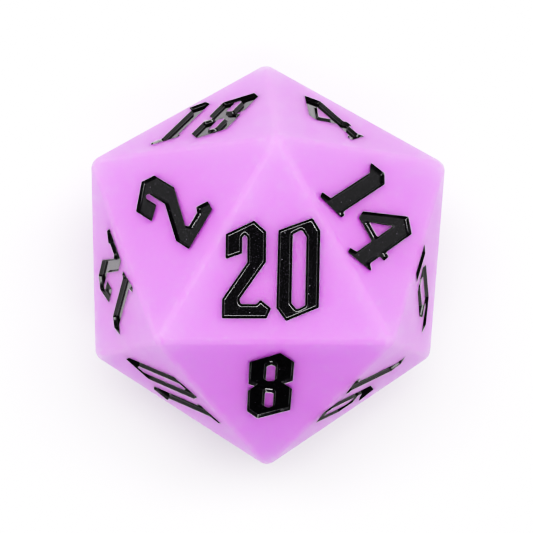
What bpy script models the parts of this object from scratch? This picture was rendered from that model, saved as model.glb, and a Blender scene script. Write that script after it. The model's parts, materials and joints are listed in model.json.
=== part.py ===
"""A big soft twenty-sided die: one solid moulded body with the numbers 1 to 20 sunk into its faces, and
black paint lying in the bottom of every sunken digit, each digit's paint a piece of its own.

Lengths are in metres. The die rests on its 1 face with its 20 face up. The origin is the middle of the
face it rests on, and +Y points to the corner that the top of the 20 points at."""

import math

import bmesh
import bpy
from mathutils import Matrix, Vector

# The body
ACROSS_FACES = 0.055  # from a face to the opposite face
EDGE_ROUNDING = 0.0006
EDGE_SEGMENTS = 3

# The sunken digits and the paint in them
DIGIT_HEIGHT = 0.016
DIGIT_DEPTH = 0.0011
PAINT_THICKNESS = 0.0002
PAINT_CLEARANCE = 0.0003  # from the paint to the floor and the walls of its digit
CUTTER_RISE = 0.001  # how far a cutter stands out of its face

# A regular icosahedron seen down a face's axis has four rings of three corners: two small ones, which
# are the top and bottom faces, and two large ones between them.
GOLDEN_RATIO = (1 + math.sqrt(5)) / 2
EDGE = ACROSS_FACES * 6 / (math.sqrt(3) * (3 + math.sqrt(5)))
SMALL_RING = EDGE / math.sqrt(3)
LARGE_RING = SMALL_RING * GOLDEN_RATIO
RING_DROP = ACROSS_FACES - EDGE / math.sqrt(3)  # the height of the upper large ring
CIRCUMRADIUS = math.hypot(SMALL_RING, ACROSS_FACES / 2)
CENTRE = Vector((0, 0, ACROSS_FACES / 2))

# Digit outlines on a design grid with 16 squares in a digit's height and (0, 0) in its middle. The first
# loop runs round the outside, and any other loop round an island inside the digit.
GRID = DIGIT_HEIGHT / 16
DIGITS = {
    "0": [
        [(-3.1, 6.0), (2.1, 7.9), (3.3, 6.0), (3.2, -5.8), (-1.8, -7.9), (-3.3, -5.9)],
        [(-0.9, 5.4), (0.5, 6.1), (1.2, 5.0), (1.1, -5.5), (-0.15, -6.1), (-1.0, -5.15)],
    ],
    "1": [
        [(-2.2, 6.1), (0.4, 7.7), (1.9, 6.45), (1.85, -4.9), (2.4, -5.0), (2.4, -5.9),
         (-2.1, -7.7), (-2.5, -6.8), (-1.0, -5.8), (-0.95, 4.7)],
    ],
    "2": [
        [(-3.25, 5.4), (1.05, 7.5), (2.9, 5.85), (2.9, 1.2), (-1.1, -4.5), (-0.9, -5.25),
         (1.5, -5.25), (2.1, -4.55), (3.75, -5.9), (3.05, -7.45), (-3.75, -7.45), (-3.75, -4.5),
         (0.05, 1.1), (0.05, 4.9), (-0.35, 5.35), (-0.75, 4.9), (-0.75, 2.5), (-3.25, 1.6)],
    ],
    "3": [
        [(-3.2, 5.4), (1.1, 7.5), (3.0, 5.9), (3.0, 1.3), (2.0, 0.1), (3.0, -1.0), (3.0, -5.8),
         (-1.0, -7.6), (-3.2, -5.9), (-3.2, -2.9), (-0.7, -2.0), (-0.7, -5.0), (-0.3, -5.4),
         (0.1, -5.0), (0.1, -1.5), (-0.6, -0.8), (-1.7, -0.8), (-1.7, 0.8), (-0.6, 0.8),
         (0.1, 1.5), (0.1, 4.9), (-0.3, 5.3), (-0.7, 4.9), (-0.7, 2.5), (-3.2, 1.6)],
    ],
    "4": [
        [(0.6, 8.0), (3.2, 6.7), (3.15, -0.6), (3.95, -0.55), (4.05, -1.95), (3.1, -2.3),
         (3.1, -5.0), (4.25, -5.55), (-0.4, -8.0), (-0.7, -7.1), (0.4, -6.2), (0.4, -2.15),
         (-3.8, -2.15), (-4.25, -0.65)],
        [(0.4, 3.7), (0.4, -0.65), (-2.3, -0.65)],
    ],
    "5": [
        [(-3.0, 5.6), (-2.3, 6.4), (1.4, 6.4), (2.1, 7.6), (3.3, 6.4), (2.6, 4.2), (-0.5, 4.2),
         (-0.5, 2.3), (1.1, 3.1), (3.0, 1.5), (3.0, -5.8), (-1.0, -7.6), (-3.2, -5.9),
         (-3.2, -2.9), (-0.7, -2.0), (-0.7, -5.0), (-0.3, -5.4), (0.1, -5.0), (0.1, 0.6),
         (-0.3, 1.0), (-0.9, 0.6), (-3.0, 0.6)],
    ],
    "6": [
        [(-3.2, -5.9), (-3.2, 3.7), (0.0, 7.9), (2.9, 6.3), (0.75, 4.4), (-0.9, 3.3),
         (-0.9, 2.2), (1.6, 3.2), (3.25, 0.6), (2.9, -6.4), (-1.0, -7.9)],
        [(-0.9, 0.9), (0.2, 1.4), (1.2, 0.0), (1.2, -5.6), (-0.2, -6.2), (-0.9, -5.4)],
    ],
    "7": [
        [(-3.4, 6.4), (-2.7, 7.5), (3.3, 7.5), (3.3, 4.9), (0.3, -1.2), (0.3, -7.5),
         (-2.5, -7.5), (-2.5, -1.2), (0.6, 4.9), (-1.3, 4.9), (-1.9, 4.0), (-3.4, 4.0)],
    ],
    "8": [
        [(-3.45, 5.85), (1.75, 8.0), (3.5, 6.15), (3.5, 1.0), (2.4, -0.1), (3.5, -0.6),
         (3.5, -5.9), (-1.2, -8.0), (-3.45, -5.9), (-3.45, -1.4), (-2.05, -0.7), (-3.45, 0.55)],
        [(-0.6, 4.9), (0.1, 5.3), (0.8, 4.9), (0.8, 1.3), (-0.6, 1.6)],
        [(-0.6, -1.35), (0.8, -1.35), (0.8, -4.9), (0.1, -5.3), (-0.6, -4.9)],
    ],
    "bar": [
        [(-3.0, -1.25), (3.0, -1.25), (3.0, 1.25), (-3.0, 1.25)],
    ],
}
DIGITS["9"] = [[(-x, -y) for x, y in loop] for loop in DIGITS["6"]]

# The upper ten numbers. Corners are counted down the rings: 0 to 2 round the top face, 3 to 5 and 6 to 8
# round the large rings, 9 to 11 round the bottom face. A number's top points to its face's first corner.
# Its digits follow, each with the grid place of its middle and its size.
UPPER_NUMBERS = {
    20: ((0, 1, 2), [("2", -4.45, 0.6, 1.0), ("0", 3.4, 0.65, 1.0)]),
    2: ((4, 0, 1), [("2", 0.35, 1.0, 1.04)]),
    14: ((3, 0, 2), [("1", -4.75, -1.15, 1.0), ("4", 3.0, -1.5, 1.0)]),
    8: ((5, 1, 2), [("8", 0.3, 0.05, 1.0)]),
    18: ((6, 0, 4), [("1", -5.55, 0.05, 0.98), ("8", 2.55, 0.5, 0.97)]),
    4: ((6, 0, 3), [("4", -0.1, 0.9, 1.0)]),
    12: ((7, 1, 4), [("1", -4.6, -1.5, 0.97), ("2", 2.9, -0.85, 0.96)]),
    10: ((7, 1, 5), [("1", -4.2, 0.1, 1.0), ("0", 3.15, 0.2, 0.97)]),
    6: ((8, 2, 3), [("6", 0.95, 2.1, 0.96), ("bar", 0.7, -7.7, 1.0)]),
    16: ((8, 2, 5), [("1", -5.05, -1.7, 1.05), ("6", 2.9, -1.85, 0.99)]),
}
FACE_TOTAL = 21  # a number and the one on the opposite face add up to this

# A lower number stands in the middle of its face, and one with two digits a little below it.
DIGIT_GAP = 1.2
PAIR_DROP = -0.9
UNDERLINED = {9: [("9", 0.0, 2.1, 0.96), ("bar", 0.0, -7.7, 1.0)]}


def corner_ring(radius, height, first_angle):
    angles = [math.radians(first_angle + turn) for turn in (0, 120, 240)]
    return [Vector((radius * math.cos(a), radius * math.sin(a), height)) for a in angles]


CORNERS = (
    corner_ring(SMALL_RING, ACROSS_FACES, 90)
    + corner_ring(LARGE_RING, RING_DROP, 30)
    + corner_ring(LARGE_RING, ACROSS_FACES - RING_DROP, 90)
    + corner_ring(SMALL_RING, 0, 30)
)


def frame(origin, up, normal):
    """The placement whose X, Y and Z run to the right, up and out of a face."""
    right = up.cross(normal)
    turned = Matrix((right, up, normal)).transposed().to_4x4()
    return Matrix.Translation(origin) @ turned


def face_frames(corner_numbers):
    """The frames of a face and of the opposite face, each with its number's top up."""
    corners = [CORNERS[i] for i in corner_numbers]
    middle = sum(corners, Vector()) / 3
    up = (corners[0] - middle).normalized()
    normal = (middle - CENTRE).normalized()
    opposite_middle = 2 * CENTRE - middle
    return frame(middle, up, normal), frame(opposite_middle, -up, -normal)


def lower_digits(number):
    """The digits of a lower number in one line, centred by their widths."""
    if number in UNDERLINED:
        return UNDERLINED[number]
    digits = list(str(number))
    if len(digits) == 1:
        return [(digits[0], 0.0, 0.0, 1.0)]
    widths = [2 * max(abs(x) for x, _ in DIGITS[digit][0]) for digit in digits]
    left = -(sum(widths) + DIGIT_GAP) / 2
    places = []
    for digit, width in zip(digits, widths):
        places.append((digit, left + width / 2, PAIR_DROP, 1.0))
        left += width + DIGIT_GAP
    return places


def filling_name(number, digit, index, count):
    if digit == "bar":
        return f"paint_{number}_bar"
    if count == 1 or number < 10:
        return f"paint_{number}"
    return f"paint_{number}_{('tens', 'units')[index]}"


def collection(name):
    made = bpy.data.collections.new(name)
    bpy.context.scene.collection.children.link(made)
    return made


def material(name, colour, roughness):
    made = bpy.data.materials.new(name)
    made.use_nodes = True
    shader = made.node_tree.nodes["Principled BSDF"]
    shader.inputs["Base Color"].default_value = (*colour, 1)
    shader.inputs["Roughness"].default_value = roughness
    shader.inputs["Metallic"].default_value = 0
    return made


def digit_slab(name, loops, thickness, inset, home):
    """A digit's outline as a flat slab, its walls moved in by the inset, as a mesh object."""
    curve = bpy.data.curves.new(name, "CURVE")
    curve.dimensions = "2D"
    curve.fill_mode = "BOTH"
    curve.extrude = thickness / 2
    curve.offset = -inset
    for loop in loops:
        spline = curve.splines.new("POLY")
        spline.points.add(len(loop) - 1)
        spline.use_cyclic_u = True
        for point, (x, y) in zip(spline.points, loop):
            point.co = (x, y, 0, 1)
    drawn = bpy.data.objects.new(name + "_outline", curve)
    home.objects.link(drawn)
    evaluated = drawn.evaluated_get(bpy.context.evaluated_depsgraph_get())
    mesh = bpy.data.meshes.new_from_object(evaluated)
    bpy.data.objects.remove(drawn)
    bpy.data.curves.remove(curve)
    shape = bmesh.new()
    shape.from_mesh(mesh)
    bmesh.ops.remove_doubles(shape, verts=shape.verts, dist=1e-6)
    bmesh.ops.recalc_face_normals(shape, faces=shape.faces)
    shape.to_mesh(mesh)
    shape.free()
    slab = bpy.data.objects.new(name, mesh)
    home.objects.link(slab)
    return slab


def solid_body(home):
    """The icosahedron, turned so that it rests on a face, with rounded edges and corners."""
    shape = bmesh.new()
    bmesh.ops.create_icosphere(shape, subdivisions=1, radius=CIRCUMRADIUS)
    shape.faces.ensure_lookup_table()
    face = shape.faces[0]
    face.normal_update()
    up = (face.verts[0].co - face.calc_center_median()).normalized()
    face_up = frame(Vector(), up, face.normal).inverted()
    bmesh.ops.transform(shape, matrix=Matrix.Translation(CENTRE) @ face_up, verts=shape.verts)
    mesh = bpy.data.meshes.new("die_body")
    shape.to_mesh(mesh)
    shape.free()
    body = bpy.data.objects.new("die_body", mesh)
    home.objects.link(body)
    rounding = body.modifiers.new("rounded_edges", "BEVEL")
    rounding.width = EDGE_ROUNDING
    rounding.segments = EDGE_SEGMENTS
    rounding.limit_method = "NONE"
    return body


for leftover in list(bpy.data.objects):
    bpy.data.objects.remove(leftover, do_unlink=True)

parts = collection("twenty_sided_die")
cutters = collection("digit_cutters")
silicone = material("lilac_silicone", (0.80, 0.36, 0.92), 0.45)
paint = material("black_paint", (0.004, 0.004, 0.005), 0.12)

cutter_middle = (CUTTER_RISE - DIGIT_DEPTH) / 2
paint_middle = PAINT_CLEARANCE + PAINT_THICKNESS / 2 - DIGIT_DEPTH


def sink_number(number, face, digits):
    """Cuts a number's digits into its face and lays the paint in them."""
    for index, (digit, x, y, size) in enumerate(digits):
        name = filling_name(number, digit, index, len(digits))
        scale = GRID * size
        loops = [[(scale * px, scale * py) for px, py in loop] for loop in DIGITS[digit]]
        place = face @ Matrix.Translation((GRID * x, GRID * y, 0))

        cutter = digit_slab("cut_" + name, loops, CUTTER_RISE + DIGIT_DEPTH, 0, cutters)
        cutter.matrix_world = place @ Matrix.Translation((0, 0, cutter_middle))
        cutter.hide_render = True
        cutter.display_type = "WIRE"

        filling = digit_slab(name, loops, PAINT_THICKNESS, PAINT_CLEARANCE, parts)
        filling.matrix_world = place @ Matrix.Translation((0, 0, paint_middle))
        filling.data.materials.append(paint)


for number, (corner_numbers, digits) in UPPER_NUMBERS.items():
    face, opposite_face = face_frames(corner_numbers)
    opposite_number = FACE_TOTAL - number
    sink_number(number, face, digits)
    sink_number(opposite_number, opposite_face, lower_digits(opposite_number))

body = solid_body(parts)
body.data.materials.append(silicone)
carving = body.modifiers.new("sunken_digits", "BOOLEAN")
carving.operation = "DIFFERENCE"
carving.operand_type = "COLLECTION"
carving.collection = cutters
carving.solver = "EXACT"
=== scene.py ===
import json
import math

import bmesh
import bpy
from mathutils import Matrix, Vector

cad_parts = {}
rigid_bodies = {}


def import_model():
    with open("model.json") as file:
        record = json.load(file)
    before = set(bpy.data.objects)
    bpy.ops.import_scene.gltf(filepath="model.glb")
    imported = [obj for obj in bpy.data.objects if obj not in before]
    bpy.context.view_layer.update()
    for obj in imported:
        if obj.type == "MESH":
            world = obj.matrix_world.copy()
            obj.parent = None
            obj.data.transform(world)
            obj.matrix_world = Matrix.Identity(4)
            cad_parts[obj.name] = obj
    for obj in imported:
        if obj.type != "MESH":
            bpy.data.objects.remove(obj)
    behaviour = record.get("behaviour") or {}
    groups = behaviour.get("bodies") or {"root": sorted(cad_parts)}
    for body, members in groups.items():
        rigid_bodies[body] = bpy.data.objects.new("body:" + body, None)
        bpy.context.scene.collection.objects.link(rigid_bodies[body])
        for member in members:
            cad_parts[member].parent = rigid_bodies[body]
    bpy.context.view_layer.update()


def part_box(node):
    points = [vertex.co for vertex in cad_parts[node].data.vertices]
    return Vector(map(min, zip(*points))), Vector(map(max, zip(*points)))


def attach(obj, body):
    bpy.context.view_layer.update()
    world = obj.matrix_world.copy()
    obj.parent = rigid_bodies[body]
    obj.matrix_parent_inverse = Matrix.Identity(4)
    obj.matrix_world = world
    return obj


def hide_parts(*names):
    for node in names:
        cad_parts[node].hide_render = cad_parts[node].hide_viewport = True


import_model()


# The silicone blank. The real piece is one solid casting of soft, milky lilac silicone from a two-part
# mould: a regular solid of twenty triangles whose edges and corners the mould rounds a little.

blank_low, blank_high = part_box("die_body")
ACROSS_FACES = blank_high.z - blank_low.z
GOLDEN_RATIO = (1 + math.sqrt(5)) / 2
EDGE = ACROSS_FACES * 6 / (math.sqrt(3) * (3 + math.sqrt(5)))
SMALL_RING = EDGE / math.sqrt(3)
LARGE_RING = SMALL_RING * GOLDEN_RATIO
UPPER_RING_HEIGHT = ACROSS_FACES - EDGE / math.sqrt(3)
CIRCUMRADIUS = math.hypot(SMALL_RING, ACROSS_FACES / 2)
CENTRE = Vector((0, 0, ACROSS_FACES / 2))
CORNER_TO_FACE = math.atan2(SMALL_RING, ACROSS_FACES / 2)  # the angle between a corner and a face's middle
FACE_TURN = math.radians(90 + 36)  # from the new solid's first face round to the far side of +Y
EDGE_ROUNDING = 0.0007
EDGE_SEGMENTS = 8
DEEP_LILAC = (0.570, 0.199, 0.707, 1)
MILKY_LILAC = (0.610, 0.234, 0.743, 1)


class Signal:
    """A node's output socket, on which Python's arithmetic adds Math nodes."""

    def __init__(self, tree, socket):
        self.tree = tree
        self.socket = socket

    def math(self, operation, first, second):
        node = self.tree.nodes.new("ShaderNodeMath")
        node.operation = operation
        for socket, value in zip(node.inputs, (first, second)):
            if isinstance(value, Signal):
                self.tree.links.new(value.socket, socket)
            else:
                socket.default_value = value
        return Signal(self.tree, node.outputs[0])

    def __add__(self, other):
        return self.math("ADD", self, other)

    def __radd__(self, other):
        return self.math("ADD", other, self)

    def __sub__(self, other):
        return self.math("SUBTRACT", self, other)

    def __rsub__(self, other):
        return self.math("SUBTRACT", other, self)

    def __mul__(self, other):
        return self.math("MULTIPLY", self, other)

    def __rmul__(self, other):
        return self.math("MULTIPLY", other, self)

    def __truediv__(self, other):
        return self.math("DIVIDE", self, other)


OBJECT_COORDINATES = 3  # the output of Texture Coordinate
MIX_FACTOR = 0
MIX_FIRST_COLOUR = 6
MIX_SECOND_COLOUR = 7
MIXED_COLOUR = 2


class Nodes:
    """A node tree that is filled one node at a time."""

    def __init__(self, tree):
        self.tree = tree
        tree.nodes.clear()

    def add(self, kind, settings=None, sockets=None, output=0):
        """A new node: its settings are set first, then the values or links of its input sockets."""
        node = self.tree.nodes.new(kind)
        for name, value in (settings or {}).items():
            setattr(node, name, value)
        for name, value in (sockets or {}).items():
            if isinstance(value, Signal):
                self.tree.links.new(value.socket, node.inputs[name])
            else:
                node.inputs[name].default_value = value
        if not node.outputs:
            return None
        return Signal(self.tree, node.outputs[output])

    def mix_colours(self, share, first, second):
        """The first colour where the share is 0 and the second where it is 1."""
        return self.add(
            "ShaderNodeMix",
            {"data_type": "RGBA"},
            {MIX_FACTOR: share, MIX_FIRST_COLOUR: first, MIX_SECOND_COLOUR: second},
            output=MIXED_COLOUR,
        )


def new_collection(name):
    """An empty collection that belongs to the scene."""
    made = bpy.data.collections.new(name)
    bpy.context.scene.collection.children.link(made)
    return made


def plain_mesh(thing, name):
    """The object's evaluated shape as a mesh of its own."""
    graph = bpy.context.evaluated_depsgraph_get()
    mesh = bpy.data.meshes.new_from_object(thing.evaluated_get(graph))
    mesh.name = name
    return mesh


def blank_tree():
    """Geometry Nodes that stand a regular twenty-sided solid on one of its faces."""
    tree = bpy.data.node_groups.new("twenty_sided_blank", "GeometryNodeTree")
    panel = tree.interface
    panel.new_socket(name="Geometry", in_out="INPUT", socket_type="NodeSocketGeometry")
    for name, kind in (
        ("Corner radius", "NodeSocketFloat"),
        ("Turn", "NodeSocketFloat"),
        ("Tip", "NodeSocketFloat"),
        ("Lift", "NodeSocketFloat"),
        ("Material", "NodeSocketMaterial"),
    ):
        panel.new_socket(name=name, in_out="INPUT", socket_type=kind)
    panel.new_socket(name="Geometry", in_out="OUTPUT", socket_type="NodeSocketGeometry")
    nodes = Nodes(tree)
    inlet = tree.nodes.new("NodeGroupInput")

    def given(name):
        return Signal(tree, inlet.outputs[name])

    solid = nodes.add("GeometryNodeMeshIcoSphere", {}, {"Radius": given("Corner radius"), "Subdivisions": 1})
    turn = nodes.add("ShaderNodeCombineXYZ", {}, {"Z": given("Turn")})
    tip = nodes.add("ShaderNodeCombineXYZ", {}, {"X": given("Tip")})
    lift = nodes.add("ShaderNodeCombineXYZ", {}, {"Z": given("Lift")})
    turned = nodes.add("GeometryNodeTransform", {}, {"Geometry": solid, "Rotation": turn})
    stood = nodes.add("GeometryNodeTransform", {}, {"Geometry": turned, "Rotation": tip, "Translation": lift})
    real = nodes.add("GeometryNodeRealizeInstances", {}, {"Geometry": stood})
    made = nodes.add("GeometryNodeSetMaterial", {}, {"Geometry": real, "Material": given("Material")})
    nodes.add("NodeGroupOutput", {}, {"Geometry": made})
    return tree


def silicone_material():
    """Milky lilac silicone: light sinks in and spreads, and the skin is satin, faintly cloudy and dusty."""
    material = bpy.data.materials.new("lilac_silicone")
    material.use_nodes = True
    nodes = Nodes(material.node_tree)
    place = nodes.add("ShaderNodeTexCoord", output=OBJECT_COORDINATES)

    clouds = nodes.add(
        "ShaderNodeTexNoise",
        {},
        {"Vector": place, "Scale": 70.0, "Detail": 3.0, "Roughness": 0.55},
    )
    flow = nodes.add("ShaderNodeTexNoise", {}, {"Vector": place, "Scale": 420.0, "Detail": 2.0})
    cloudiness = clouds * 0.8 + flow * 0.2
    colour = nodes.mix_colours(cloudiness, DEEP_LILAC, MILKY_LILAC)

    skin = nodes.add("ShaderNodeTexNoise", {}, {"Vector": place, "Scale": 240.0, "Detail": 4.0})
    roughness = 0.40 + skin * 0.14

    grain = nodes.add("ShaderNodeTexNoise", {}, {"Vector": place, "Scale": 9000.0, "Detail": 2.0})
    ripple = nodes.add("ShaderNodeTexNoise", {}, {"Vector": place, "Scale": 160.0, "Detail": 1.0})
    height = grain * 0.05 + ripple
    bump = nodes.add("ShaderNodeBump", {}, {"Height": height, "Strength": 0.35, "Distance": 0.00004})

    surface = nodes.add(
        "ShaderNodeBsdfPrincipled",
        {"subsurface_method": "RANDOM_WALK"},
        {
            "Base Color": colour,
            "Roughness": roughness,
            "IOR": 1.41,
            "Specular IOR Level": 0.38,
            "Subsurface Weight": 1.0,
            "Subsurface Radius": (1.0, 3.0, 1.0),
            "Subsurface Scale": 0.008,
            "Subsurface Anisotropy": 0.0,
            "Normal": bump,
        },
    )
    nodes.add("ShaderNodeOutputMaterial", {}, {"Surface": surface})
    return material


silicone = silicone_material()
body = bpy.data.objects.new("silicone_body", bpy.data.meshes.new("blank"))
bpy.context.scene.collection.objects.link(body)
shaping = body.modifiers.new("shaping", "NODES")
shaping.node_group = blank_tree()
panel = shaping.node_group.interface
sockets = {item.name: item.identifier for item in panel.items_tree if item.in_out == "INPUT"}
shaping[sockets["Corner radius"]] = CIRCUMRADIUS
shaping[sockets["Turn"]] = -FACE_TURN
shaping[sockets["Tip"]] = -CORNER_TO_FACE
shaping[sockets["Lift"]] = CENTRE.z
shaping[sockets["Material"]] = silicone
rounding = body.modifiers.new("rounded_edges", "BEVEL")
rounding.width = EDGE_ROUNDING
rounding.segments = EDGE_SEGMENTS
rounding.limit_method = "NONE"


# The sunken numbers. The mould's raised digits leave them in the silicone: almost upright walls with
# slightly soft corners, a small radius round the floor and a crisp rim.

GRID = 0.001  # the digits' points are in millimetres from the digit's middle
DIGITS = {
    "0": [
        [(-3.1, 6.0), (2.1, 7.9), (3.3, 6.0), (3.2, -5.8), (-1.8, -7.9), (-3.3, -5.9)],
        [(-0.9, 5.4), (0.5, 6.1), (1.2, 5.0), (1.1, -5.5), (-0.15, -6.1), (-1.0, -5.15)],
    ],
    "1": [
        [(-2.2, 6.1), (0.4, 7.7), (1.9, 6.45), (1.85, -4.9), (2.4, -5.0), (2.4, -5.9),
         (-2.1, -7.7), (-2.5, -6.8), (-1.0, -5.8), (-0.95, 4.7)],
    ],
    "2": [
        [(-3.25, 5.4), (1.05, 7.5), (2.9, 5.85), (2.9, 1.2), (-1.1, -4.5), (-0.9, -5.25),
         (1.5, -5.25), (2.1, -4.55), (3.75, -5.9), (3.05, -7.45), (-3.75, -7.45), (-3.75, -4.5),
         (0.05, 1.1), (0.05, 4.9), (-0.35, 5.35), (-0.75, 4.9), (-0.75, 2.5), (-3.25, 1.6)],
    ],
    "3": [
        [(-3.2, 5.4), (1.1, 7.5), (3.0, 5.9), (3.0, 1.3), (2.0, 0.1), (3.0, -1.0), (3.0, -5.8),
         (-1.0, -7.6), (-3.2, -5.9), (-3.2, -2.9), (-0.7, -2.0), (-0.7, -5.0), (-0.3, -5.4),
         (0.1, -5.0), (0.1, -1.5), (-0.6, -0.8), (-1.7, -0.8), (-1.7, 0.8), (-0.6, 0.8),
         (0.1, 1.5), (0.1, 4.9), (-0.3, 5.3), (-0.7, 4.9), (-0.7, 2.5), (-3.2, 1.6)],
    ],
    "4": [
        [(0.6, 8.0), (3.2, 6.7), (3.15, -0.6), (3.95, -0.55), (4.05, -1.95), (3.1, -2.3),
         (3.1, -5.0), (4.25, -5.55), (-0.4, -8.0), (-0.7, -7.1), (0.4, -6.2), (0.4, -2.15),
         (-3.8, -2.15), (-4.25, -0.65)],
        [(0.4, 3.7), (0.4, -0.65), (-2.3, -0.65)],
    ],
    "5": [
        [(-3.0, 5.6), (-2.3, 6.4), (1.4, 6.4), (2.1, 7.6), (3.3, 6.4), (2.6, 4.2), (-0.5, 4.2),
         (-0.5, 2.3), (1.1, 3.1), (3.0, 1.5), (3.0, -5.8), (-1.0, -7.6), (-3.2, -5.9),
         (-3.2, -2.9), (-0.7, -2.0), (-0.7, -5.0), (-0.3, -5.4), (0.1, -5.0), (0.1, 0.6),
         (-0.3, 1.0), (-0.9, 0.6), (-3.0, 0.6)],
    ],
    "6": [
        [(-3.2, -5.9), (-3.2, 3.7), (0.0, 7.9), (2.9, 6.3), (0.75, 4.4), (-0.9, 3.3),
         (-0.9, 2.2), (1.6, 3.2), (3.25, 0.6), (2.9, -6.4), (-1.0, -7.9)],
        [(-0.9, 0.9), (0.2, 1.4), (1.2, 0.0), (1.2, -5.6), (-0.2, -6.2), (-0.9, -5.4)],
    ],
    "7": [
        [(-3.4, 6.4), (-2.7, 7.5), (3.3, 7.5), (3.3, 4.9), (0.3, -1.2), (0.3, -7.5),
         (-2.5, -7.5), (-2.5, -1.2), (0.6, 4.9), (-1.3, 4.9), (-1.9, 4.0), (-3.4, 4.0)],
    ],
    "8": [
        [(-3.45, 5.85), (1.75, 8.0), (3.5, 6.15), (3.5, 1.0), (2.4, -0.1), (3.5, -0.6),
         (3.5, -5.9), (-1.2, -8.0), (-3.45, -5.9), (-3.45, -1.4), (-2.05, -0.7), (-3.45, 0.55)],
        [(-0.6, 4.9), (0.1, 5.3), (0.8, 4.9), (0.8, 1.3), (-0.6, 1.6)],
        [(-0.6, -1.35), (0.8, -1.35), (0.8, -4.9), (0.1, -5.3), (-0.6, -4.9)],
    ],
    "bar": [
        [(-3.0, -1.25), (3.0, -1.25), (3.0, 1.25), (-3.0, 1.25)],
    ],
}
DIGITS["9"] = [[(-x, -y) for x, y in loop] for loop in DIGITS["6"]]

UPPER_NUMBERS = {
    20: ((0, 1, 2), [("2", -4.45, 0.6, 1.0), ("0", 3.4, 0.65, 1.0)]),
    2: ((4, 0, 1), [("2", 0.35, 1.0, 1.04)]),
    14: ((3, 0, 2), [("1", -4.75, -1.15, 1.0), ("4", 3.0, -1.5, 1.0)]),
    8: ((5, 1, 2), [("8", 0.3, 0.05, 1.0)]),
    18: ((6, 0, 4), [("1", -5.55, 0.05, 0.98), ("8", 2.55, 0.5, 0.97)]),
    4: ((6, 0, 3), [("4", -0.1, 0.9, 1.0)]),
    12: ((7, 1, 4), [("1", -4.6, -1.5, 0.97), ("2", 2.9, -0.85, 0.96)]),
    10: ((7, 1, 5), [("1", -4.2, 0.1, 1.0), ("0", 3.15, 0.2, 0.97)]),
    6: ((8, 2, 3), [("6", 0.95, 2.1, 0.96), ("bar", 0.7, -7.7, 1.0)]),
    16: ((8, 2, 5), [("1", -5.05, -1.7, 1.05), ("6", 2.9, -1.85, 0.99)]),
}
FACE_TOTAL = 21  # a number and the one on the opposite face add up to this
DIGIT_GAP = 1.2
PAIR_DROP = -0.9
UNDERLINED = {9: [("9", 0.0, 2.1, 0.96), ("bar", 0.0, -7.7, 1.0)]}

RECESS_DEPTH = 0.0011
RIM_RADIUS = 0.00002
WALL_DRAFT = 0.00002
FLOOR_RADIUS = 0.0002
CUTTER_RISE = 0.0005
CUTTER_FLARE = 0.0001
CORNER_RADIUS = 0.0002
HOLLOW_RADIUS = 0.0004
LONGEST_ROUNDING = 0.0004  # along a side, so that a narrow point stays narrow
CORNER_POINTS = 8
ROUNDED_SHARE = 0.45  # the most of a side that the curve at either of its ends takes up
SHORTEST_SIDE = 0.00004


def corner_ring(radius, height, first_angle):
    """Three corners of the solid, evenly round a circle at one height."""
    angles = [math.radians(first_angle + turn) for turn in (0, 120, 240)]
    return [Vector((radius * math.cos(a), radius * math.sin(a), height)) for a in angles]


CORNERS = (
    corner_ring(SMALL_RING, ACROSS_FACES, 90)
    + corner_ring(LARGE_RING, UPPER_RING_HEIGHT, 30)
    + corner_ring(LARGE_RING, ACROSS_FACES - UPPER_RING_HEIGHT, 90)
    + corner_ring(SMALL_RING, 0, 30)
)


def placement(origin, up, normal):
    """The matrix whose X, Y and Z run to the right, up and out of a face."""
    turned = Matrix((up.cross(normal), up, normal)).transposed().to_4x4()
    return Matrix.Translation(origin) @ turned


def face_placements(corner_numbers):
    """The placements of a face and of the opposite face, each with its number's top up."""
    corners = [CORNERS[i] for i in corner_numbers]
    middle = sum(corners, Vector()) / 3
    up = (corners[0] - middle).normalized()
    normal = (middle - CENTRE).normalized()
    return placement(middle, up, normal), placement(2 * CENTRE - middle, -up, -normal)


def lower_digits(number):
    """The digits of a lower number in one line, centred by their widths."""
    if number in UNDERLINED:
        return UNDERLINED[number]
    digits = list(str(number))
    if len(digits) == 1:
        return [(digits[0], 0.0, 0.0, 1.0)]
    widths = [2 * max(abs(x) for x, _ in DIGITS[digit][0]) for digit in digits]
    left = -(sum(widths) + DIGIT_GAP) / 2
    places = []
    for digit, width in zip(digits, widths):
        places.append((digit, left + width / 2, PAIR_DROP, 1.0))
        left += width + DIGIT_GAP
    return places


def digit_name(number, digit, index, count):
    """The name of the CAD's paint in this digit."""
    if digit == "bar":
        return f"paint_{number}_bar"
    if count == 1 or number < 10:
        return f"paint_{number}"
    return f"paint_{number}_{('tens', 'units')[index]}"


def all_digits():
    """Each digit's name, its loops in metres and the matrix that puts them on its face."""
    for number, (corner_numbers, digits) in UPPER_NUMBERS.items():
        face, opposite_face = face_placements(corner_numbers)
        opposite = FACE_TOTAL - number
        for owner, matrix, row in ((number, face, digits), (opposite, opposite_face, lower_digits(opposite))):
            for index, (digit, x, y, size) in enumerate(row):
                loops = [[Vector(point) * GRID * size for point in loop] for loop in DIGITS[digit]]
                shift = Matrix.Translation((GRID * x, GRID * y, 0))
                yield digit_name(owner, digit, index, len(row)), loops, matrix @ shift


def signed_area(loop):
    """The loop's area, which is negative where its points run clockwise."""
    return sum(a.cross(b) for a, b in zip(loop, loop[1:] + loop[:1])) / 2


def facing_in(loops):
    """The loops, turned so that the digit lies to the left of every one: the first is the outer one."""
    turned = []
    for index, loop in enumerate(loops):
        is_island = index > 0
        turned.append(loop[::-1] if (signed_area(loop) > 0) == is_island else loop)
    return turned


def crossing(first, first_along, second, second_along):
    """Where two lines cross, each given by a point and a direction."""
    share = (second - first).cross(second_along) / first_along.cross(second_along)
    return first + first_along * share


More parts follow.
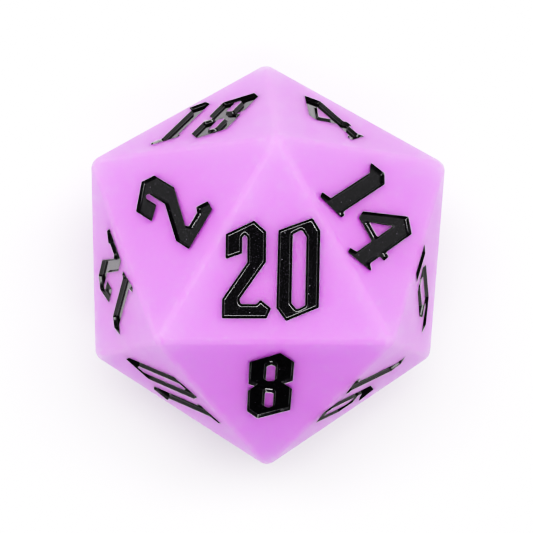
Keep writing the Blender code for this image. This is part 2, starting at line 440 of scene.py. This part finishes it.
def moved_in(loop, inset):
    """The loop's corners with every side moved into the digit, and a side that would vanish kept tiny."""
    count = len(loop)
    along = [(loop[(i + 1) % count] - loop[i]).normalized() for i in range(count)]
    starts = [here + Vector((-way.y, way.x)) * inset for here, way in zip(loop, along)]
    corners = [crossing(starts[i - 1], along[i - 1], starts[i], along[i]) for i in range(count)]
    for i in range(count):
        after = (i + 1) % count
        if (corners[after] - corners[i]).dot(along[i]) < SHORTEST_SIDE:
            point = crossing(starts[i - 1], along[i - 1], starts[after], along[after])
            corners[i] = point - along[i - 1] * SHORTEST_SIDE / 2
            corners[after] = point + along[after] * SHORTEST_SIDE / 2
    return corners


def rounded(loop, inset):
    """The loop with a soft curve of a few points at every corner."""
    points = []
    for before, here, after in zip(loop[-1:] + loop[:-1], loop, loop[1:] + loop[:1]):
        back, ahead = before - here, after - here
        turn = math.pi - back.angle(ahead)
        is_hollow = (-back).cross(ahead) < 0
        radius = HOLLOW_RADIUS + max(inset, 0) if is_hollow else CORNER_RADIUS
        longest = LONGEST_ROUNDING + (max(inset, 0) if is_hollow else 0)
        shorter = min(back.length, ahead.length)
        reach = min(radius * math.tan(turn / 2), longest, ROUNDED_SHARE * shorter)
        start = here + back.normalized() * reach
        end = here + ahead.normalized() * reach
        for step in range(CORNER_POINTS):
            s = step / (CORNER_POINTS - 1)
            points.append((1 - s) ** 2 * start + 2 * s * (1 - s) * here + s**2 * end)
    return points


def loft(name, loops, profile, matrix):
    """A closed mesh that follows the loops at each inset and depth of the profile, capped at both ends."""
    shape = bmesh.new()
    loops = facing_in(loops)
    levels = []
    for inset, depth in profile:
        level = []
        for loop in loops:
            points = rounded(moved_in(loop, inset), inset)
            level.append([shape.verts.new(matrix @ Vector((p.x, p.y, -depth))) for p in points])
        levels.append(level)
    for upper, lower in zip(levels, levels[1:]):
        for top, bottom in zip(upper, lower):
            for i in range(len(top)):
                j = (i + 1) % len(top)
                shape.faces.new((top[i], bottom[i], bottom[j], top[j]))
    for level in (levels[0], levels[-1]):
        rims = [shape.edges.get((a, b)) for ring in level for a, b in zip(ring, ring[1:] + ring[:1])]
        bmesh.ops.triangle_fill(shape, use_beauty=True, use_dissolve=False, edges=rims)
    bmesh.ops.recalc_face_normals(shape, faces=shape.faces)
    for part in shape.faces:
        part.smooth = True
    mesh = bpy.data.meshes.new(name)
    shape.to_mesh(mesh)
    shape.free()
    return mesh


def recess_rim():
    """From above the face, in over the rounded rim to the top of the wall."""
    profile = [(-CUTTER_FLARE, -CUTTER_RISE)]
    for degrees in (15, 40, 65, 90):
        a = math.radians(degrees)
        profile.append((RIM_RADIUS * (math.sin(a) - 1), RIM_RADIUS * (1 - math.cos(a))))
    return profile


def recess_wall():
    """Down the wall's last stretch and round onto the floor."""
    profile = []
    for degrees in (0, 22.5, 45, 67.5, 90):
        a = math.radians(degrees)
        inset = WALL_DRAFT + FLOOR_RADIUS * (1 - math.cos(a))
        profile.append((inset, RECESS_DEPTH - FLOOR_RADIUS * (1 - math.sin(a))))
    return profile


cutters = new_collection("mould_digits")
recess = recess_rim() + recess_wall()
for name, loops, matrix in all_digits():
    cutter = bpy.data.objects.new("mould_" + name, loft("mould_" + name, loops, recess, matrix))
    cutters.objects.link(cutter)
carving = body.modifiers.new("sunken_digits", "BOOLEAN")
carving.operation = "DIFFERENCE"
carving.operand_type = "COLLECTION"
carving.collection = cutters
carving.solver = "MANIFOLD"
weighting = body.modifiers.new("even_shading", "WEIGHTED_NORMAL")
weighting.keep_sharp = False
weighting.weight = 100  # flat faces stay flat right up to their rounded edges

carved = plain_mesh(body, "silicone_body")
body.modifiers.clear()
body.data = carved
for cutter in list(cutters.objects):
    bpy.data.objects.remove(cutter)
bpy.data.collections.remove(cutters)
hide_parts("die_body")
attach(body, "root")


# The paint. Black gloss paint is flooded into the sunken digits and wiped off the faces: it dries with a
# flat floor well below the face, steep banks along the walls and a small round lip at the rim.

PAINT_TOP = 0.0006
PAINT_GAP = 0.000005
LIP_DEPTH = 0.000015
LIP_RADIUS = 0.00005
BANK_SLOPE = math.radians(68)
BANK_FOOT_RADIUS = 0.00028
LIP_STEPS = 3
FOOT_STEPS = 7
PAINT_BLACK = (0.0012, 0.0011, 0.0014, 1)
DUST_GREY = (0.17, 0.15, 0.19, 1)
NUMBERS_NEAR_THE_TOP = ("paint_2", "paint_8", "paint_14")  # how their pieces' names begin: 2, 20, 8 and 14


def paint_profile():
    """Up the recess wall, over the round lip, down the bank and round its foot onto the paint's floor."""
    profile = [(inset + PAINT_GAP, depth - PAINT_GAP) for inset, depth in reversed(recess_wall())]
    lip_top = LIP_DEPTH + PAINT_GAP
    for step in range(LIP_STEPS + 1):
        a = BANK_SLOPE * step / LIP_STEPS
        profile.append((PAINT_GAP + LIP_RADIUS * math.sin(a), lip_top + LIP_RADIUS * (1 - math.cos(a))))
    bank_top, bank_start = profile[-1]
    foot_rise = BANK_FOOT_RADIUS * (1 - math.cos(BANK_SLOPE))
    bank_end = bank_top + (PAINT_TOP - foot_rise - bank_start) / math.tan(BANK_SLOPE)
    foot_end = bank_end + BANK_FOOT_RADIUS * math.sin(BANK_SLOPE)
    for step in range(FOOT_STEPS + 1):
        a = BANK_SLOPE * (FOOT_STEPS - step) / FOOT_STEPS
        inset = foot_end - BANK_FOOT_RADIUS * math.sin(a)
        profile.append((inset, PAINT_TOP - BANK_FOOT_RADIUS * (1 - math.cos(a))))
    return profile


def paint_material():
    """Black gloss paint with a faint orange peel and a few grains of dust dried into it."""
    material = bpy.data.materials.new("black_paint")
    material.use_nodes = True
    nodes = Nodes(material.node_tree)
    place = nodes.add("ShaderNodeTexCoord", output=OBJECT_COORDINATES)

    grains = nodes.add("ShaderNodeTexVoronoi", {"feature": "F1"}, {"Vector": place, "Scale": 900.0})
    dust = nodes.add(
        "ShaderNodeMapRange",
        {"clamp": True},
        {"Value": grains, "From Min": 0.08, "From Max": 0.03, "To Min": 0.0, "To Max": 1.0},
    )
    specks = nodes.add("ShaderNodeTexNoise", {}, {"Vector": place, "Scale": 5500.0, "Detail": 2.0})
    grit = nodes.add("ShaderNodeMapRange", {}, {"Value": specks, "From Min": 0.55, "From Max": 0.75})
    colour = nodes.mix_colours(dust * 0.5 + grit * 0.14, PAINT_BLACK, DUST_GREY)
    smears = nodes.add("ShaderNodeTexNoise", {}, {"Vector": place, "Scale": 700.0, "Detail": 3.0})
    roughness = 0.05 + smears * 0.06 + dust * 0.4
    peel = nodes.add("ShaderNodeTexNoise", {}, {"Vector": place, "Scale": 4500.0, "Detail": 1.0})
    height = peel + dust * 0.5
    bump = nodes.add("ShaderNodeBump", {}, {"Height": height, "Strength": 0.08, "Distance": 0.00002})
    surface = nodes.add(
        "ShaderNodeBsdfPrincipled",
        {},
        {"Base Color": colour, "Roughness": roughness, "IOR": 1.5, "Normal": bump},
    )
    nodes.add("ShaderNodeOutputMaterial", {}, {"Surface": surface})
    return material


paint = paint_material()
pool = paint_profile()
fillings = new_collection("number_paint")
top_fillings = new_collection("top_number_paint")
for name, loops, matrix in all_digits():
    mesh = loft("black_" + name, loops, pool, matrix)
    mesh.materials.append(paint)
    filling = bpy.data.objects.new("black_" + name, mesh)
    fillings.objects.link(filling)
    if name.startswith(NUMBERS_NEAR_THE_TOP):
        top_fillings.objects.link(filling)
    weighting = filling.modifiers.new("even_shading", "WEIGHTED_NORMAL")
    weighting.keep_sharp = False
    weighting.weight = 50  # by plain area, so that the narrow bands round the foot shade evenly
    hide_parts(name)
    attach(filling, "root")


# The studio: a small white table, a long soft light on the far side of a dark gap overhead and a narrow
# one on the near side, and two bright walls to the left and right with darkness between them.

TABLE_SIZE = 0.7
SHADED_WHITE = (0.90, 0.89, 0.90, 1)
CLEAN_WHITE = (0.93, 0.92, 0.93, 1)
WALL_LIGHT = 2.0
WALL_LEAN = 0.235  # how much brighter the left wall is than the middle value, and the right one darker
GAP_LIGHT = 0.0625
GAP_LEAN = 0.0475  # the same for the far and the near gap
WALL_TOP = 0.7  # the height, as the sine of the angle above the table, where the ceiling takes over
WALL_SHOULDER = 0.35
OVERHEAD_LIGHT = 0.41
PAPER_WHITE = 1.7


def table_material():
    """Matt white paper with a faint unevenness."""
    material = bpy.data.materials.new("white_table")
    material.use_nodes = True
    nodes = Nodes(material.node_tree)
    place = nodes.add("ShaderNodeTexCoord", output=OBJECT_COORDINATES)
    tooth = nodes.add("ShaderNodeTexNoise", {}, {"Vector": place, "Scale": 30.0})
    colour = nodes.mix_colours(tooth, SHADED_WHITE, CLEAN_WHITE)
    surface = nodes.add("ShaderNodeBsdfPrincipled", {}, {"Base Color": colour, "Roughness": 0.8})
    nodes.add("ShaderNodeOutputMaterial", {}, {"Surface": surface})
    return material


def studio_walls():
    """Two bright walls left and right, dark gaps between them and a dim ceiling; paper white to look at."""
    world = bpy.data.worlds.new("studio_walls")
    world.use_nodes = True
    nodes = Nodes(world.node_tree)
    direction = nodes.add("ShaderNodeTexCoord")
    x, y, z = (nodes.add("ShaderNodeSeparateXYZ", {}, {"Vector": direction}, output=i) for i in range(3))
    low = nodes.add("ShaderNodeMapRange", {}, {"Value": z, "From Min": WALL_TOP, "From Max": WALL_SHOULDER})
    walls = x * x / (x * x + y * y)
    around = (WALL_LIGHT - WALL_LEAN * x) * walls + (GAP_LIGHT + GAP_LEAN * y) * (1 - walls)
    strength = around * low + OVERHEAD_LIGHT * (1 - low)
    lighting = nodes.add("ShaderNodeBackground", {}, {"Strength": strength})
    paper = nodes.add("ShaderNodeBackground", {}, {"Strength": PAPER_WHITE})
    seen = nodes.add("ShaderNodeLightPath")
    both = nodes.add("ShaderNodeMixShader", {}, {0: seen, 1: lighting, 2: paper})
    nodes.add("ShaderNodeOutputWorld", {}, {"Surface": both})
    return world


def soft_light(name, place, width, depth, radiance):
    """A rectangular soft light that faces the die, with its place, size and radiance."""
    light = bpy.data.lights.new(name, "AREA")
    light.shape = "RECTANGLE"
    light.size = width
    light.size_y = depth
    light.energy = radiance * math.pi * width * depth
    lamp = bpy.data.objects.new(name, light)
    lamp.location = place
    lamp.rotation_euler = (CENTRE - Vector(place)).to_track_quat("-Z", "Y").to_euler()
    bpy.context.scene.collection.objects.link(lamp)
    return lamp


table_mesh = bpy.data.meshes.new("table_top")
shape = bmesh.new()
bmesh.ops.create_grid(shape, x_segments=1, y_segments=1, size=TABLE_SIZE / 2)
shape.to_mesh(table_mesh)
shape.free()
table_mesh.materials.append(table_material())
table_top = bpy.data.objects.new("table_top", table_mesh)
bpy.context.scene.collection.objects.link(table_top)

bpy.context.scene.world = studio_walls()
soft_light("far_light", (0.0, 0.38, 1.0), 1.2, 0.34, 13.0)
soft_light("near_light", (0.0, -0.30, 1.0), 0.8, 0.14, 10.0)
# Thin strips that reach only the paint near the top, where they draw the light lines along its banks.
for strip in (
    soft_light("far_strip", (0.0, 0.30, 1.0), 1.0, 0.15, 28.0),
    soft_light("near_strip", (0.0, -0.28, 1.0), 0.8, 0.15, 40.0),
    soft_light("left_strip", (-0.45, 0.0, 1.0), 0.5, 0.15, 15.0),
    soft_light("right_strip", (0.45, 0.0, 1.0), 0.5, 0.15, 15.0),
):
    strip.light_linking.receiver_collection = top_fillings


# The camera: a long lens a hand's length above the die and a little to the far left of its middle, looking
# almost straight down.

LENS = 104.19
LENS_SHIFT = (-0.00094, 0.00094)
LENS_PLACE = (-0.01427, 0.01717, 0.28898)
LENS_TURNS = (-3.9612, -3.1189, 0.4740)  # in degrees, round X, Y and Z

camera = bpy.data.cameras.new("camera")
camera.sensor_width = 36
camera.lens = LENS
camera.shift_x, camera.shift_y = LENS_SHIFT
camera.clip_start = 0.01
viewer = bpy.data.objects.new("camera", camera)
viewer.location = LENS_PLACE
viewer.rotation_euler = [math.radians(turn) for turn in LENS_TURNS]
bpy.context.scene.collection.objects.link(viewer)
bpy.context.scene.camera = viewer

# The camera's response to light: deep blacks, and highlights that roll off slowly to paper white. Its curve
# starts as a power of the light and levels off past the knee.

RESPONSE_RANGE = 2.0
RESPONSE_SLOPE = 1.79
RESPONSE_KNEE = 0.531
RESPONSE_TOP = 1.22

view = bpy.context.scene.view_settings
view.view_transform = "Standard"
view.use_curve_mapping = True
film = view.curve_mapping
film.extend = "HORIZONTAL"
film.white_level = (RESPONSE_RANGE, RESPONSE_RANGE, RESPONSE_RANGE)
response = film.curves[3]  # the curve that all the colours share
for light in (0.03, 0.06, 0.12, 0.22, 0.36, 0.55, 0.8, 1.1, 1.45, 1.7):
    power = light**RESPONSE_SLOPE
    level = min(1.0, RESPONSE_TOP * power / (power + RESPONSE_KNEE))
    response.points.new(light / RESPONSE_RANGE, level)
for point in response.points:
    point.handle_type = "AUTO_CLAMPED"
film.update()
